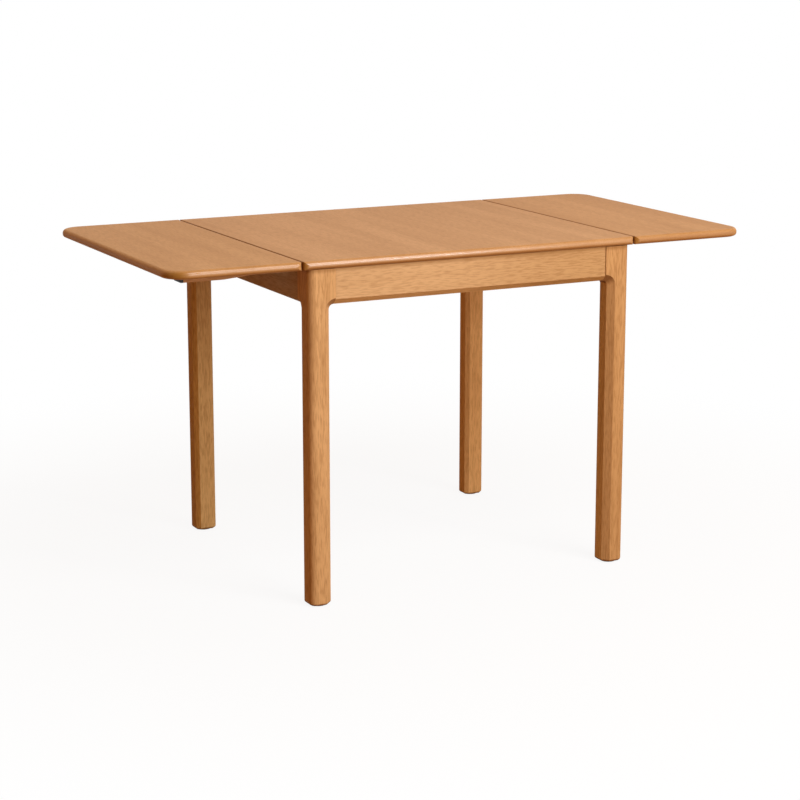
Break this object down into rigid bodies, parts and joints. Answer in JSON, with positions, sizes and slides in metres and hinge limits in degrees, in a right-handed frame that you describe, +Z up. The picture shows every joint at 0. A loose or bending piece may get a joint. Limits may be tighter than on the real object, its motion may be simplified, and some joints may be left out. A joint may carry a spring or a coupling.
{
  "type": "butterfly leaf table",
  "caption": "Oak dining table with a drop leaf hinged to each end of a centre top; folding stays under the leaves prop them level on a frame of square legs and aprons.",
  "frame": {"origin": "on the floor under the centre of the table", "axes": "+X along the table from the left leaf to the right leaf, +Y from the front to the back, +Z up"},
  "size_m": [1.4, 0.72, 0.75],
  "materials": {
    "top_oak": "honey oak, satin lacquer",
    "frame_oak": "honey oak, satin lacquer",
    "hidden_beech": "plain beech",
    "zinc_steel": "zinc plated",
    "hinge_steel": "brushed steel",
    "stay_black": "black powder coat",
    "glide_plastic": "brown nylon",
    "bumper_rubber": "black rubber"
  },
  "bodies": {
    "frame": {"centre_top": "top_oak", "front_left_leg": "frame_oak", "front_right_leg": "frame_oak", "back_left_leg": "frame_oak", "back_right_leg": "frame_oak", "front_apron": "frame_oak", "back_apron": "frame_oak", "left_apron": "frame_oak", "right_apron": "frame_oak", "centre_rail": "hidden_beech", "apron_dowels": "hidden_beech", "front_left_corner_brace": "zinc_steel", "front_right_corner_brace": "zinc_steel", "back_left_corner_brace": "zinc_steel", "back_right_corner_brace": "zinc_steel", "hanger_bolts": "zinc_steel", "brace_washers": "zinc_steel", "brace_nuts": "zinc_steel", "top_clips": "zinc_steel", "front_left_foot_glide": "glide_plastic", "front_right_foot_glide": "glide_plastic", "back_left_foot_glide": "glide_plastic", "back_right_foot_glide": "glide_plastic", "top_screws": "zinc_steel", "apron_screws": "zinc_steel", "front_left_hinge_top_flap": "hinge_steel", "front_left_hinge_pin": "hinge_steel", "front_right_hinge_top_flap": "hinge_steel", "front_right_hinge_pin": "hinge_steel", "back_left_hinge_top_flap": "hinge_steel", "back_left_hinge_pin": "hinge_steel", "back_right_hinge_top_flap": "hinge_steel", "back_right_hinge_pin": "hinge_steel", "left_stay_bracket": "stay_black", "left_stay_pivot_pin": "zinc_steel", "right_stay_bracket": "stay_black", "right_stay_pivot_pin": "zinc_steel"},
    "left_leaf": {"left_leaf": "top_oak", "front_left_leaf_cleat": "frame_oak", "front_left_hinge_leaf_flap": "hinge_steel", "back_left_leaf_cleat": "frame_oak", "back_left_hinge_leaf_flap": "hinge_steel", "left_leaf_bumpers": "bumper_rubber", "left_leaf_screws": "zinc_steel", "left_stay_track": "stay_black"},
    "right_leaf": {"right_leaf": "top_oak", "front_right_leaf_cleat": "frame_oak", "front_right_hinge_leaf_flap": "hinge_steel", "back_right_leaf_cleat": "frame_oak", "back_right_hinge_leaf_flap": "hinge_steel", "right_leaf_bumpers": "bumper_rubber", "right_leaf_screws": "zinc_steel", "right_stay_track": "stay_black"},
    "left_stay": {"left_stay_strut": "stay_black", "left_stay_rollers": "glide_plastic", "left_stay_roller_axle": "zinc_steel"},
    "right_stay": {"right_stay_strut": "stay_black", "right_stay_rollers": "glide_plastic", "right_stay_roller_axle": "zinc_steel"}
  },
  "joints": [
    {"name": "left_leaf_drop", "type": "hinge", "parent": "frame", "child": "left_leaf", "pos_m": [-0.404, 0, 0.7282], "axis": [0, -1, 0], "range_deg": [0, 90]},
    {"name": "left_stay_swing", "type": "hinge", "parent": "frame", "child": "left_stay", "pos_m": [-0.395, 0, 0.6822], "axis": [0, -1, 0], "range_deg": [0, 104.39]},
    {"name": "right_leaf_drop", "type": "hinge", "parent": "frame", "child": "right_leaf", "pos_m": [0.404, 0, 0.7282], "axis": [0, 1, 0], "range_deg": [0, 90]},
    {"name": "right_stay_swing", "type": "hinge", "parent": "frame", "child": "right_stay", "pos_m": [0.395, 0, 0.6822], "axis": [0, 1, 0], "range_deg": [0, 104.39]}
  ],
  "couplings": [
    {"joint": "left_stay_swing", "follows": "left_leaf_drop", "ratio": 1.1598},
    {"joint": "right_stay_swing", "follows": "right_leaf_drop", "ratio": 1.1598}
  ]
}
